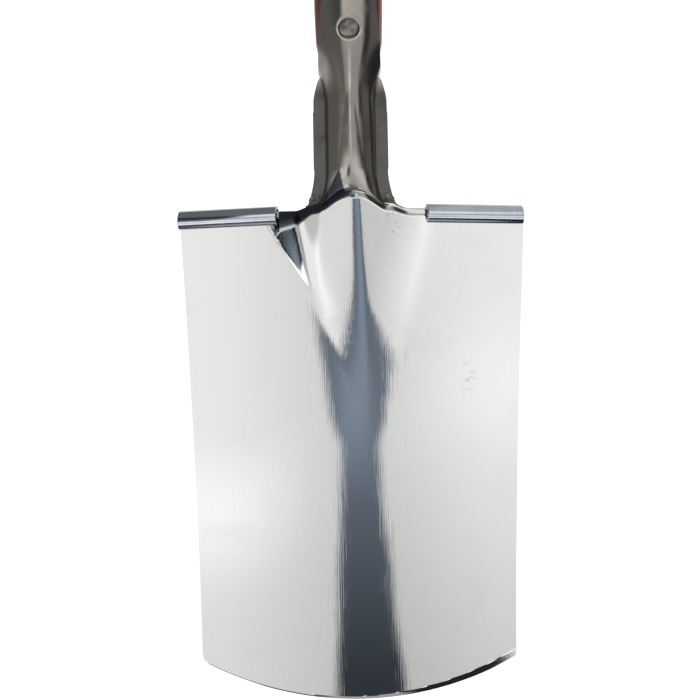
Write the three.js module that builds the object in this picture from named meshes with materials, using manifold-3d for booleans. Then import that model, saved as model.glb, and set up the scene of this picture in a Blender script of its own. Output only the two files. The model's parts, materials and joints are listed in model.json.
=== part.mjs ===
// Garden spade: polished blade, two pressed straps that form the neck, slotted treads, wooden shaft with a
// D grip. Millimetres, +Z up along the blade. The near side (-Y) is the blade's convex side.
import * as THREE from 'three';
import { mergeVertices } from 'three/addons/utils/BufferGeometryUtils.js';
import Module from 'manifold-3d';

const wasm = await Module();
wasm.setup();

// Blade
const bladeHeight = 271;          // cutting edge to the top edge under the treads
const bladeHalfTop = 97.2;          // half width under the treads
const bladeHalfFoot = 88.5;         // half width above the cutting edge
const bladeRadius = 420;          // curve across the blade
const edgeRadius = 197;           // arc of the cutting edge
const bladeThick = 2;
const edgeThick = 0.7;            // thickness of the ground cutting edge
const edgeBevel = 5;              // height of the ground bevel
const footRise = 5;               // how far the shoulders rise from the treads to the neck
const archRise = 8;               // how far the fold rises further in the middle of the neck
const archHalf = 19;              // half width of that arch
const bulgeLow = 155;             // height above the cutting edge at which the bulge starts
const bulgeDepth = 14.5;          // how far its ridge stands out at the neck
const bulgeGrow = 2.2;            // how late it grows on the way up
const bulgeTip = 1.5;             // how far it reaches left of its ridge where it starts
const bulgeSpread = 49;           // and how much further at the neck
const bulgeRightLow = 20;         // how far it reaches right of its ridge low down
const bulgeRightHigh = 40;        // and at the neck
const bulgeRightFrom = 200;       // height from which the right side widens
const bulgeCrest = 0.25;          // roundness of the ridge, as a share of the reach
const bulgeSoftLeft = 0.08;       // how softly the sides run out
const bulgeSoftRight = 0.3;
const bulgeShift = 4.5;           // the ridge starts this far right of the middle
const bulgeShiftBack = 2;         // and comes back by this much at the neck
const lipRadius = 5;              // roll of the shoulders' top edge
const lipInner = 28;              // the lip starts here, outside the neck
const lipOuter = 40;              // and ends here, before the treads

// Treads
const treadInner = 41.5;
const treadOuter = 98;
const treadRadius = 5.5;
const treadWall = 1.7;
const treadSlot = 3.6;
const treadDrop = 1.15;           // degrees, down towards the outer end

// Neck and straps, in the neck's own frame: z runs along the shaft, y = 0 is the plane between the straps
const neckLean = 8;               // degrees, away from the near side
const neckFoot = new THREE.Vector3(0, -5, 276);
const sheetThick = 2;
const seam = 0.3;                 // gap between pieces that touch
const flangeHalf = 20.6;          // half width over the flanges
const flangeTop = 58;             // where the flanges start to run out
const flangeEnd = 80;             // where the strap has become a plain tongue
const tongueHalf = 16.6;
const tongueStraight = 76;
const tongueTip = 154;
const shellHalfLow = 13.2;        // the shell's half width beside the flanges
const shellDeepLow = 9.5;         // and its depth at the foot
const lugFoot = -20;              // where the far strap's lug starts, below the top of the blade
const shellRadius = 20.6;         // the shell's radius where it lies on the round shaft
const shellRound = 98;            // the shell is round from here up

// Rivets and washers
const rivetHeight = 95.8;
const rivetShank = 3;
const rivetHead = 5.5;
const headRise = 1.6;
const washerRadius = 8;
const washerThick = 1.2;

// Shaft and grip
const shaftFoot = 26;
const shaftRadius = 19;
const shaftWaist = 17.6;
const throat = 706;               // where the arms part
const barHeight = 838;            // the grip bar's axis
const armSpread = 50;             // the arms' half spacing at the bar
const armHalfX = 10;
const armHalfY = 15;
const armInnerFlat = 42.5;
const armOuterFlat = 58.4;
const barRadius = 15;
const barEndRadius = 13;
const yokeHeight = 692;           // the rivet below the split

const materials = {
  mirrorSteel: new THREE.MeshStandardMaterial({ color: 0xdcddd8, roughness: 0.12, metalness: 1 }),
  darkSteel: new THREE.MeshStandardMaterial({ color: 0x6d655e, roughness: 0.35, metalness: 1 }),
  groundSteel: new THREE.MeshStandardMaterial({ color: 0x55544f, roughness: 0.6, metalness: 1 }),
  zinc: new THREE.MeshStandardMaterial({ color: 0xb4bcc6, roughness: 0.3, metalness: 1 }),
  rivetSteel: new THREE.MeshStandardMaterial({ color: 0x6b6a60, roughness: 0.5, metalness: 1 }),
  lacqueredAsh: new THREE.MeshStandardMaterial({ color: 0x5a2018, roughness: 0.35, metalness: 0 }),
};

const radians = THREE.MathUtils.degToRad;
const lerp = THREE.MathUtils.lerp;
const smooth = THREE.MathUtils.smoothstep;

// A named mesh with a material of its own.
function piece(name, geometry, material) {
  const mesh = new THREE.Mesh(geometry, materials[material].clone());
  mesh.name = name;
  return mesh;
}

// Only the corner positions, with equal ones joined.
function bare(geometry) {
  geometry.deleteAttribute('normal');
  geometry.deleteAttribute('uv');
  return mergeVertices(geometry, 1e-4);
}

function toSolid(geometry) {
  const joined = bare(geometry.clone());
  return new wasm.Manifold(new wasm.Mesh({
    numProp: 3,
    vertProperties: new Float32Array(joined.attributes.position.array),
    triVerts: new Uint32Array(joined.index.array),
  }));
}

function toGeometry(solid) {
  const mesh = solid.getMesh();
  const geometry = new THREE.BufferGeometry();
  geometry.setAttribute('position', new THREE.BufferAttribute(mesh.vertProperties, 3));
  geometry.setIndex(new THREE.BufferAttribute(mesh.triVerts, 1));
  return geometry;
}

function cut(body, ...tools) {
  return toGeometry(tools.reduce((left, tool) => left.subtract(toSolid(tool)), toSolid(body)));
}

function join(body, ...others) {
  return toGeometry(others.reduce((sum, other) => sum.add(toSolid(other)), toSolid(body)));
}

// A sheet of the given thickness about the surface middle(u, v), made by bending a flat plate of
// across x along cells. u runs to +X, v runs to +Z, both from 0 to 1.
function bentSheet(across, along, middle, thickness) {
  const plate = new THREE.BoxGeometry(across, 1, along, across, 1, along);
  const points = plate.attributes.position;
  const step = 1e-3;
  for (let i = 0; i < points.count; i++) {
    const u = Math.round(points.getX(i) + across / 2) / across;
    const v = Math.round(points.getZ(i) + along / 2) / along;
    const here = middle(u, v);
    const alongU = middle(Math.min(u + step, 1), v).sub(middle(Math.max(u - step, 0), v));
    const alongV = middle(u, Math.min(v + step, 1)).sub(middle(u, Math.max(v - step, 0)));
    const normal = alongV.cross(alongU).normalize();
    here.addScaledVector(normal, Math.sign(points.getY(i)) * thickness(u, v) / 2);
    points.setXYZ(i, here.x, here.y, here.z);
  }
  return bare(plate);
}

// A solid turned about Z from [radius, height] pairs, lowest first.
function turned(profile, segments) {
  const outline = profile.map(([radius, height]) => new THREE.Vector2(radius, height));
  return bare(new THREE.LatheGeometry(outline, segments).rotateX(Math.PI / 2));
}

// --- Blade ---

const bulgeTop = bladeHeight + footRise + archRise;

function bladeHalf(z) {
  return lerp(bladeHalfFoot, bladeHalfTop, Math.pow(THREE.MathUtils.clamp(z / bladeHeight, 0, 1), 1.5));
}

function bladeTop(x) {
  const shoulder = footRise * (1 - smooth(Math.abs(x), 22, 44));
  const arch = archRise * Math.pow(Math.max(0, 1 - (x / archHalf) ** 2), 1.6);
  return bladeHeight + shoulder + arch;
}

function bladeFoot(x) {
  return edgeRadius - Math.sqrt(edgeRadius ** 2 - x * x);
}

// How far the bulge stands out: a ridge with a flat side left and a softer one right.
function bulgeAt(x, z) {
  const share = (from) => THREE.MathUtils.clamp((z - from) / (bulgeTop - from), 0, 1);
  const rise = share(bulgeLow);
  const shift = bulgeShift - bulgeShiftBack * rise;
  const side = smooth(x - shift, -3, 3);
  const right = lerp(bulgeRightLow, bulgeRightHigh, share(bulgeRightFrom));
  const away = (x - shift) / lerp(bulgeTip + bulgeSpread * rise, right, side);
  const slope = Math.hypot(1, bulgeCrest);
  const tent = (slope - Math.hypot(away, bulgeCrest)) / (slope - bulgeCrest);
  const soft = lerp(bulgeSoftLeft, bulgeSoftRight, side);
  return bulgeDepth * Math.pow(rise, bulgeGrow) * (tent + Math.hypot(tent, soft)) / 2;
}

// Depth of the middle of the sheet: the curve across, the bulge below the neck and the rolled lips.
function bladeDepth(x, z) {
  const lip = smooth(Math.abs(x), lipInner - 5, lipInner) * (1 - smooth(Math.abs(x), lipOuter - 4, lipOuter));
  const over = Math.max(0, z - (bladeTop(x) - lipRadius)) / lipRadius;
  const roll = lipRadius * (1 - Math.sqrt(1 - Math.min(0.8 * over, 0.8) ** 2));
  return x * x / (2 * bladeRadius) - bulgeAt(x, z) + lip * roll;
}

function bladePoint(u, v) {
  const spread = 0.5 - 0.5 * Math.cos(Math.PI * v);
  const x = (2 * u - 1) * bladeHalf(spread * bladeHeight);
  const z = lerp(bladeFoot(x), bladeTop(x), spread);
  return new THREE.Vector3(x, bladeDepth(x, z), z);
}

function makeBlade() {
  const thickness = (u, v) => {
    const point = bladePoint(u, v);
    return lerp(edgeThick, bladeThick, Math.min(1, (point.z - bladeFoot(point.x)) / edgeBevel));
  };
  return piece('blade', bentSheet(32, 24, bladePoint, thickness), 'mirrorSteel');
}

// --- Treads ---

// A slotted tube along +X, its slot facing down.
function makeTread(name, side) {
  const half = Math.asin(treadSlot / 2 / treadRadius);
  const inner = treadRadius - treadWall;
  const innerHalf = Math.asin(treadSlot / 2 / inner);
  const down = -Math.PI / 2;
  const section = new THREE.Shape();
  section.absarc(0, 0, treadRadius, down + half, down + 2 * Math.PI - half, false);
  section.absarc(0, 0, inner, down + 2 * Math.PI - innerHalf, down + innerHalf, true);
  section.closePath();
  const length = treadOuter - treadInner;
  const tube = new THREE.ExtrudeGeometry(section, { depth: length, bevelEnabled: false, curveSegments: 20 });
  tube.translate(0, 0, -length / 2).rotateX(Math.PI / 2).rotateZ(Math.PI / 2);
  const tread = piece(name, bare(tube), 'zinc');
  const middle = (treadInner + treadOuter) / 2;
  const depth = (bladeDepth(treadInner, 0) + bladeDepth(treadOuter, 0)) / 2;
  const sweep = Math.atan2(bladeDepth(treadOuter, 0) - bladeDepth(treadInner, 0), length);
  tread.position.set(side * middle, (depth + bladeDepth(middle, 0)) / 2, bladeHeight);
  tread.rotation.set(0, radians(side * treadDrop), side * sweep, 'ZYX');
  return tread;
}

// --- Straps ---

// Half width, depth and radius of the shell at height t along the neck.
function shellHalf(t) {
  return lerp(shellHalfLow, shellRadius, smooth(t, flangeTop, shellRound));
}

function shellDeep(t) {
  return lerp(shellDeepLow, shellRadius, smooth(t, -30, shellRound));
}

function strapHalf(t) {
  const flange = lerp(flangeHalf, tongueHalf, smooth(t, flangeTop, flangeEnd));
  const up = Math.max(0, (t - tongueStraight) / (tongueTip - tongueStraight));
  return flange * Math.sqrt(Math.max(0.012, 1 - up ** 2));
}

// A point across the strap in the neck's frame: round over the wood, then flat along the flange where
// there is one. s runs from 0 in the middle to 1 at the edge.
function strapSection(s, t) {
  const half = strapHalf(t);
  const wide = shellHalf(t);
  const deep = shellDeep(t);
  const turn = half < wide ? Math.min(Math.asin(half / wide), 1.52) : 1.52;
  const flange = Math.max(0, half - wide);
  const share = wide * turn / (wide * turn + flange);
  const onFlange = smooth(s, share - 0.1, share + 0.08) * Math.min(1, flange / 3);
  const angle = turn * Math.min(1, s / share);
  const flangeX = lerp(wide, half, Math.max(0, (s - share) / Math.max(1 - share, 1e-6)));
  const x = lerp(wide * Math.sin(angle), s < share ? wide * Math.sin(angle) : flangeX, onFlange);
  return new THREE.Vector2(x, lerp(-deep * Math.cos(angle), -sheetThick / 2 - seam / 2, onFlange));
}

function fromNeck(x, y, t) {
  const acrossAxis = new THREE.Vector3(1, 0, 0);
  return new THREE.Vector3(x, y, t).applyAxisAngle(acrossAxis, -radians(neckLean)).add(neckFoot);
}

// The near strap starts on the fold at the top of the blade and opens into the neck's section.
function frontStrapPoint(u, v) {
  const side = 2 * u - 1;
  const t = lerp(0, tongueTip, Math.pow(v, 1.15));
  const section = strapSection(Math.abs(side), t);
  const onNeck = fromNeck(Math.sign(side) * section.x, section.y, t);
  const x = side * (flangeHalf + 5);
  const z = bladeTop(x) + seam;
  const onFold = new THREE.Vector3(x, bladeDepth(x, z - seam), z);
  return onFold.lerp(onNeck.setZ(Math.max(onNeck.z, z)), smooth(v, 0, 0.16));
}

// The far strap mirrors it. Its foot is a rounded lug that lies in the hollow behind the bulge.
function backStrapPoint(u, v) {
  const side = 2 * u - 1;
  const t = lerp(lugFoot, tongueTip, v);
  const section = strapSection(Math.abs(side), t);
  const lug = Math.sqrt(Math.max(0.05, 1 - Math.max(0, (2 - t) / (3 - lugFoot)) ** 2));
  const x = Math.sign(side) * section.x * lug;
  const onNeck = fromNeck(x, -section.y, t);
  const behindBlade = bladeDepth(x, Math.min(onNeck.z, bladeHeight)) + bladeThick + seam;
  const onBlade = new THREE.Vector3(x, behindBlade, onNeck.z);
  return onBlade.lerp(onNeck, smooth(t, -8, 26));
}

function neckHole(radius) {
  const hole = new THREE.CylinderGeometry(radius, radius, 80, 24);
  hole.rotateX(-radians(neckLean));
  const middle = fromNeck(0, 0, rivetHeight);
  return bare(hole).translate(middle.x, middle.y, middle.z);
}

function makeStraps() {
  const thickness = () => sheetThick;
  const front = bentSheet(20, 30, frontStrapPoint, thickness);
  const back = bentSheet(20, 30, backStrapPoint, thickness);
  const hole = neckHole(rivetShank + seam);
  const frontRoom = bentSheet(20, 30, frontStrapPoint, () => sheetThick + 1.8 * seam);
  const room = bentSheet(32, 24, (u, v) => bladePoint(u, v).add(new THREE.Vector3(0, 0, seam * v)),
    () => bladeThick + 2 * seam);
  return [
    piece('front_strap', cut(front, hole, room), 'darkSteel'),
    piece('back_strap', cut(back, hole, frontRoom, room), 'darkSteel'),
  ];
}

// --- Welds, rivets, shaft and grip, all in the neck's frame ---

function makeNeckWelds() {
  const length = flangeTop - 24;
  return [['left', -1], ['right', 1]].map(([name, side]) => {
    const bead = new THREE.CapsuleGeometry(1, length, 4, 10).rotateX(Math.PI / 2).scale(0.6, 2.1, 1);
    bead.translate(side * (flangeHalf + seam + 0.6), 0, 20 + length / 2);
    return piece(`neck_weld_${name}`, bare(bead), 'groundSteel');
  });
}

function makeShaft() {
  const height = throat + 4 - shaftFoot;
  const wood = new THREE.LatheGeometry([
    new THREE.Vector2(0, 0), new THREE.Vector2(0.8, 0), new THREE.Vector2(1, 0.003),
    ...Array.from({ length: 22 }, (_, i) => new THREE.Vector2(1, 0.003 + 0.997 * Math.pow((i + 1) / 22, 1.6))),
    new THREE.Vector2(0, 1),
  ], 28).rotateX(Math.PI / 2);
  const points = wood.attributes.position;
  for (let i = 0; i < points.count; i++) {
    const t = shaftFoot + points.getZ(i) * height;
    const round = smooth(t, shellRound, shellRound + 8);
    const gap = sheetThick / 2 + 3 * seam;
    const waist = lerp(shaftRadius, shaftWaist, smooth(t, 180, 420));
    const halfX = lerp(shellHalf(t) - gap, waist, round);
    const halfY = lerp(shellDeep(t) - gap, waist, round);
    points.setXYZ(i, points.getX(i) * halfX, points.getY(i) * halfY, t);
  }
  const arms = [-1, 1].flatMap(makeArm);
  const inner = new THREE.BoxGeometry(2 * armInnerFlat, 60, 60).translate(0, 0, barHeight + 8);
  const outer = [-1, 1].map((side) => new THREE.BoxGeometry(20, 60, 24)
    .translate(side * (armOuterFlat + 10), 0, barHeight));
  const barHole = new THREE.CylinderGeometry(rivetShank + seam, rivetShank + seam, 200, 20);
  barHole.rotateZ(Math.PI / 2).translate(0, 0, barHeight);
  const holes = [rivetHeight, yokeHeight].map((t) => new THREE.CylinderGeometry(
    rivetShank + seam, rivetShank + seam, 80, 20).translate(0, 0, t));
  const body = join(wood, ...arms);
  return piece('shaft', cut(body, inner, ...outer, barHole, ...holes), 'lacqueredAsh');
}

function makeArm(side) {
  const at = (x, t) => new THREE.Vector3(side * x, 0, t);
  const path = new THREE.CatmullRomCurve3([
    at(6, throat - 46), at(9, throat - 10), at(18, throat + 28), at(35, throat + 70),
    at(46, throat + 98), at(armSpread, barHeight),
  ]);
  const section = new THREE.Shape().absellipse(0, 0, armHalfY, armHalfX, 0, 2 * Math.PI, false, 0);
  const arm = new THREE.ExtrudeGeometry(section, { steps: 20, extrudePath: path, curveSegments: 8 });
  const tip = new THREE.SphereGeometry(1, 24, 16).scale(armHalfX, armHalfY, armHalfY);
  return [arm, tip.translate(side * armSpread, 0, barHeight)];
}

function makeGripBar() {
  const half = armInnerFlat - seam;
  const profile = [[0, -half], [barEndRadius, -half], [barRadius, -half * 0.35], [barRadius, half * 0.35],
    [barEndRadius, half], [0, half]];
  const bar = turned(profile, 24).rotateZ(Math.PI / 24);
  const hole = new THREE.CylinderGeometry(rivetShank + seam, rivetShank + seam, 200, 20).rotateX(Math.PI / 2);
  const drilled = cut(bar, hole).rotateY(Math.PI / 2).translate(0, 0, barHeight);
  return piece('grip_bar', drilled, 'lacqueredAsh');
}

// A rivet along Z with a low dome at both ends; reach is from the middle to the underside of a head.
function makeRivet(name, reach) {
  const dome = [[1, 0], [0.97, 0.35], [0.8, 0.7], [0.45, 0.94], [0, 1]];
  const top = dome.map(([share, rise]) => [rivetHead * share, reach + rise * headRise]);
  const bottom = [...top].reverse().map(([radius, height]) => [radius, -height]);
  const profile = [...bottom, [rivetShank, -reach], [rivetShank, reach], ...top];
  return piece(name, turned(profile, 24), 'rivetSteel');
}

function makeWasher(name) {
  const hole = rivetShank + seam;
  const half = washerThick / 2;
  const profile = [[hole, -half], [washerRadius, -half], [washerRadius, half * 0.3], [washerRadius - 0.6, half],
    [hole, half], [hole, -half]];
  return piece(name, turned(profile, 28), 'zinc');
}

// --- Assembly ---

function makeFootWelds() {
  return [['left', -1], ['right', 1]].map(([name, side]) => {
    const lump = new THREE.SphereGeometry(1, 14, 10).scale(3.6, 1.3, 2.2);
    const weld = piece(`foot_weld_${name}`, bare(lump), 'groundSteel');
    weld.position.set(side * 21, bladeDepth(side * 21, bladeHeight) - 3.2, bladeHeight + footRise + 4);
    weld.rotation.y = side * radians(35);
    return weld;
  });
}

const neck = new THREE.Group();
neck.position.copy(neckFoot);
neck.rotation.x = -radians(neckLean);

const strapRivet = makeRivet('strap_rivet', shellRadius + sheetThick / 2 + 0.5);
const yokeRivet = makeRivet('yoke_rivet', shaftWaist + washerThick + 1.2);
const gripRivet = makeRivet('grip_rivet', armOuterFlat + washerThick + 2 * seam);
strapRivet.rotation.x = Math.PI / 2;
strapRivet.position.z = rivetHeight;
yokeRivet.rotation.x = Math.PI / 2;
yokeRivet.position.z = yokeHeight;
gripRivet.rotation.y = Math.PI / 2;
gripRivet.position.z = barHeight;
neck.add(...makeNeckWelds(), makeShaft(), makeGripBar(), strapRivet, yokeRivet, gripRivet);

for (const [name, side] of [['left', -1], ['right', 1]]) {
  const washer = makeWasher(`grip_washer_${name}`);
  washer.position.set(side * (armOuterFlat + seam + washerThick / 2), 0, barHeight);
  washer.rotation.y = side * Math.PI / 2;
  neck.add(washer);
}
for (const [name, side] of [['front', -1], ['back', 1]]) {
  const washer = makeWasher(`yoke_washer_${name}`);
  washer.position.set(0, side * (shaftWaist + seam + washerThick / 2 + 0.5), yokeHeight);
  washer.rotation.x = -side * Math.PI / 2;
  neck.add(washer);
}

const spade = new THREE.Group();
spade.add(makeBlade(), makeTread('left_tread', -1), makeTread('right_tread', 1));
spade.add(...makeStraps(), ...makeFootWelds(), neck);

// The origin is under the middle of the spade's outline, level with the cutting edge.
const outline = new THREE.Box3().setFromObject(spade, true);
spade.position.set(-(outline.min.x + outline.max.x) / 2, -(outline.min.y + outline.max.y) / 2, -outline.min.z);

export default spade;
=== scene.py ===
import json
import math
import bpy
from mathutils import Matrix, Vector, noise


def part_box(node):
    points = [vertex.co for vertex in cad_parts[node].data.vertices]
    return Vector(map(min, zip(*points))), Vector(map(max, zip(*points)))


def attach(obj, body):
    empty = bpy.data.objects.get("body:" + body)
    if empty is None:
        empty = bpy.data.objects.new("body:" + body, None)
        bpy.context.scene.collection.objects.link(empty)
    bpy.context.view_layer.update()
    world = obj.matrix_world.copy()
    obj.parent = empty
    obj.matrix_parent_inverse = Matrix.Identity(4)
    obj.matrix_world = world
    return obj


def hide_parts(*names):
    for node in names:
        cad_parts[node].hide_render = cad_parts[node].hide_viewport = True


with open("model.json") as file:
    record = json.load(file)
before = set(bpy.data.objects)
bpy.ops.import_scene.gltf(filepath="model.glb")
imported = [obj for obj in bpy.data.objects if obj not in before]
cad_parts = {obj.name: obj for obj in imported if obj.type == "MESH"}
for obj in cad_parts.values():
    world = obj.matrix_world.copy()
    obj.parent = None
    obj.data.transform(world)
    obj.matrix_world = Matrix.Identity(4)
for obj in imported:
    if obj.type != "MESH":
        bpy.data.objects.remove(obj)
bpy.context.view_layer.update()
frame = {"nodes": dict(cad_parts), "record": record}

# Where the neck starts and which way it leans, from the hanging face under the grip bar.
hang = next(m for m in frame["record"]["mounts"] if m["name"] == "grip_hang_face")
grip = {"height": 0.838, "radius": 0.015, "flat": 0.015 * math.cos(math.pi / 24), "endRadius": 0.013}
neckUp = -Vector(hang["axis"]).normalized()
neckFoot = Vector(hang["pos_m"]) - neckUp * (grip["height"] - grip["flat"])
lean = math.atan2(neckUp.y, neckUp.z)
neckFrame = Matrix.Translation(neckFoot) @ Matrix.Rotation(-lean, 4, "X")
bladeOrigin = Vector((0, neckFoot.y + 0.005, 0))   # the front of the blade's curve, level with the edge
print("neck foot", tuple(round(c, 4) for c in neckFoot), "lean", round(math.degrees(lean), 2))


def clamp(value, low=0.0, high=1.0):
    return max(low, min(high, value))


def mix(a, b, share):
    return a + (b - a) * share


def ease(value, start, end):
    t = clamp((value - start) / (end - start))
    return t * t * (3 - 2 * t)


def deselectAll():
    if bpy.context.object and bpy.context.object.mode != "OBJECT":
        bpy.ops.object.mode_set(mode="OBJECT")
    bpy.ops.object.select_all(action="DESELECT")


def focus(piece):
    deselectAll()
    piece.select_set(True)
    bpy.context.view_layer.objects.active = piece


def useModifier(piece, kind, **settings):
    focus(piece)
    modifier = piece.modifiers.new(kind.title(), kind)
    for name, value in settings.items():
        setattr(modifier, name, value)
    bpy.ops.object.modifier_apply(modifier=modifier.name)


def settle(piece, place=None):
    # puts the place into the mesh, so that the object sits at the origin
    piece.data.transform((place or Matrix.Identity(4)) @ piece.matrix_world)
    piece.matrix_world = Matrix.Identity(4)
    piece.data.update()


def smoothShade(piece, angle=35):
    focus(piece)
    bpy.ops.object.shade_smooth_by_angle(angle=math.radians(angle))


def finishPiece(piece, slot, material, *nodes):
    piece.data.materials.clear()
    piece.data.materials.append(material)
    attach(piece, "root")
    if nodes:
        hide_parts(*nodes)
    return piece


def pressedSheet(name, across, along, place, thick):
    # a flat grid pressed into the surface place(u, v), then given its thickness
    deselectAll()
    bpy.ops.mesh.primitive_grid_add(x_subdivisions=across, y_subdivisions=along, size=2)
    piece = bpy.context.object
    piece.name = name
    for vertex in piece.data.vertices:
        vertex.co = place((vertex.co.x + 1) / 2, (vertex.co.y + 1) / 2)
    bpy.ops.object.mode_set(mode="EDIT")
    bpy.ops.mesh.select_all(action="SELECT")
    bpy.ops.mesh.normals_make_consistent(inside=False)
    bpy.ops.object.mode_set(mode="OBJECT")
    useModifier(piece, "SOLIDIFY", thickness=thick, offset=0, use_quality_normals=True)
    return piece


def turnPiece(name, outline, steps=48, closed=False):
    # spins (radius, height) points, lowest first, about Z
    deselectAll()
    bpy.ops.mesh.primitive_plane_add(size=0.001, location=(outline[0][0], 0, outline[0][1]))
    piece = bpy.context.object
    piece.name = name
    settle(piece)
    bpy.ops.object.mode_set(mode="EDIT")
    bpy.ops.mesh.select_all(action="SELECT")
    bpy.ops.mesh.merge(type="CENTER")
    ring = outline[1:] + (outline[:1] if closed else [])
    last = outline[0]
    for point in ring:
        step = (point[0] - last[0], 0, point[1] - last[1])
        bpy.ops.mesh.extrude_region_move(TRANSFORM_OT_translate={"value": step})
        last = point
    bpy.ops.mesh.select_all(action="SELECT")
    bpy.ops.mesh.spin(steps=steps, angle=2 * math.pi, center=(0, 0, 0), axis=(0, 0, 1))
    bpy.ops.mesh.select_all(action="SELECT")
    bpy.ops.mesh.remove_doubles(threshold=0.00001)
    bpy.ops.mesh.normals_make_consistent(inside=False)
    bpy.ops.object.mode_set(mode="OBJECT")
    return piece


view = {"aim": (-0.0024, 0.1955), "distance": 1.0, "field": 0.392, "roll": 1.0, "sensor": 36}


def makeCamera():
    data = bpy.data.cameras.new("camera")
    camera = bpy.data.objects.new("camera", data)
    bpy.context.scene.collection.objects.link(camera)
    data.sensor_width = view["sensor"]
    data.lens = view["sensor"] * view["distance"] / view["field"]
    target = Vector((view["aim"][0], bladeOrigin.y, view["aim"][1]))
    camera.location = target - Vector((0, view["distance"], 0))
    roll = Matrix.Rotation(-math.radians(view["roll"]), 4, "Z")
    camera.rotation_euler = (Matrix.Rotation(math.pi / 2, 4, "X") @ roll).to_euler()
    bpy.context.scene.camera = camera


makeCamera()
print("camera set")


def nodeIn(tree, kind, **values):
    node = tree.nodes.new(kind)
    for name, value in values.items():
        if hasattr(node, name):
            setattr(node, name, value)
        else:
            node.inputs[name].default_value = value
    return node


def calc(tree, operation, a, b=None, c=None, clip=False):
    node = tree.nodes.new("ShaderNodeMath")
    node.operation = operation
    node.use_clamp = clip
    for socket, value in zip(node.inputs, (a, b, c)):
        if value is None:
            continue
        if isinstance(value, (int, float)):
            socket.default_value = value
        else:
            tree.links.new(value, socket)
    return node.outputs[0]


def ranged(tree, value, fromLow, fromHigh, toLow=0.0, toHigh=1.0, smooth=True):
    node = tree.nodes.new("ShaderNodeMapRange")
    node.interpolation_type = "SMOOTHSTEP" if smooth else "LINEAR"
    tree.links.new(value, node.inputs["Value"])
    limits = {"From Min": fromLow, "From Max": fromHigh, "To Min": toLow, "To Max": toHigh}
    for name, number in limits.items():
        node.inputs[name].default_value = number
    return node.outputs["Result"]


def blendColours(tree, share, a, b):
    node = tree.nodes.new("ShaderNodeMix")
    node.data_type = "RGBA"
    if isinstance(share, (int, float)):
        node.inputs[0].default_value = share
    else:
        tree.links.new(share, node.inputs[0])
    for socket, value in ((node.inputs[6], a), (node.inputs[7], b)):
        if isinstance(value, (tuple, list)):
            socket.default_value = (*value, 1) if len(value) == 3 else value
        else:
            tree.links.new(value, socket)
    return node.outputs[2]


def newGroup(name, inputs, outputs):
    group = bpy.data.node_groups.new(name, "ShaderNodeTree")
    for label, kind, value in inputs:
        socket = group.interface.new_socket(name=label, in_out="INPUT", socket_type=kind)
        if value is not None:
            socket.default_value = value
    for label, kind in outputs:
        group.interface.new_socket(name=label, in_out="OUTPUT", socket_type=kind)
    return group, group.nodes.new("NodeGroupInput").outputs, group.nodes.new("NodeGroupOutput").inputs


def placeGroup(tree, group, **values):
    node = tree.nodes.new("ShaderNodeGroup")
    node.node_tree = group
    for label, value in values.items():
        socket = node.inputs[label]
        if isinstance(value, bpy.types.NodeSocket):
            tree.links.new(value, socket)
        else:
            socket.default_value = value
    return node


def noiseOn(tree, vector, scale, detail=3, rough=0.5):
    node = nodeIn(tree, "ShaderNodeTexNoise", Scale=scale, Detail=detail, Roughness=rough)
    tree.links.new(vector, node.inputs["Vector"])
    return node.outputs["Fac"]


def stretched(tree, vector, scale, turn=(0, 0, 0)):
    node = tree.nodes.new("ShaderNodeMapping")
    node.vector_type = "POINT"
    node.inputs["Rotation"].default_value = turn
    node.inputs["Scale"].default_value = scale
    tree.links.new(vector, node.inputs["Vector"])
    return node.outputs["Vector"]


def makeLinesGroup():
    # fine polishing or drawing lines: noise stretched along one axis
    sockets = [("Vector", "NodeSocketVector", None), ("Fineness", "NodeSocketFloat", 900.0),
               ("Contrast", "NodeSocketFloat", 1.0)]
    group, given, wanted = newGroup("fineLines", sockets, [("Lines", "NodeSocketFloat")])
    coarse = nodeIn(group, "ShaderNodeTexNoise", Detail=2.0, Roughness=0.6)
    group.links.new(given["Vector"], coarse.inputs["Vector"])
    group.links.new(given["Fineness"], coarse.inputs["Scale"])
    fine = nodeIn(group, "ShaderNodeTexNoise", Detail=1.0, Roughness=0.5)
    group.links.new(given["Vector"], fine.inputs["Vector"])
    group.links.new(calc(group, "MULTIPLY", given["Fineness"], 2.7), fine.inputs["Scale"])
    both = calc(group, "ADD", coarse.outputs["Fac"], fine.outputs["Fac"])
    centred = calc(group, "SUBTRACT", calc(group, "MULTIPLY", both, 0.5), 0.5)
    group.links.new(calc(group, "MULTIPLY", centred, given["Contrast"]), wanted["Lines"])
    return group


def makeBlotchGroup():
    # broad uneven patches, such as handling marks, thin oil or uneven plating
    sockets = [("Vector", "NodeSocketVector", None), ("Size", "NodeSocketFloat", 30.0),
               ("Low", "NodeSocketFloat", 0.45), ("High", "NodeSocketFloat", 0.7)]
    group, given, wanted = newGroup("blotches", sockets, [("Mask", "NodeSocketFloat")])
    cloud = nodeIn(group, "ShaderNodeTexNoise", Detail=4.0, Roughness=0.55, Distortion=0.4)
    group.links.new(given["Vector"], cloud.inputs["Vector"])
    group.links.new(given["Size"], cloud.inputs["Scale"])
    remap = nodeIn(group, "ShaderNodeMapRange", interpolation_type="SMOOTHSTEP")
    group.links.new(cloud.outputs["Fac"], remap.inputs["Value"])
    group.links.new(given["Low"], remap.inputs["From Min"])
    group.links.new(given["High"], remap.inputs["From Max"])
    group.links.new(remap.outputs["Result"], wanted["Mask"])
    return group


fineLines = makeLinesGroup()
blotches = makeBlotchGroup()


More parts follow.
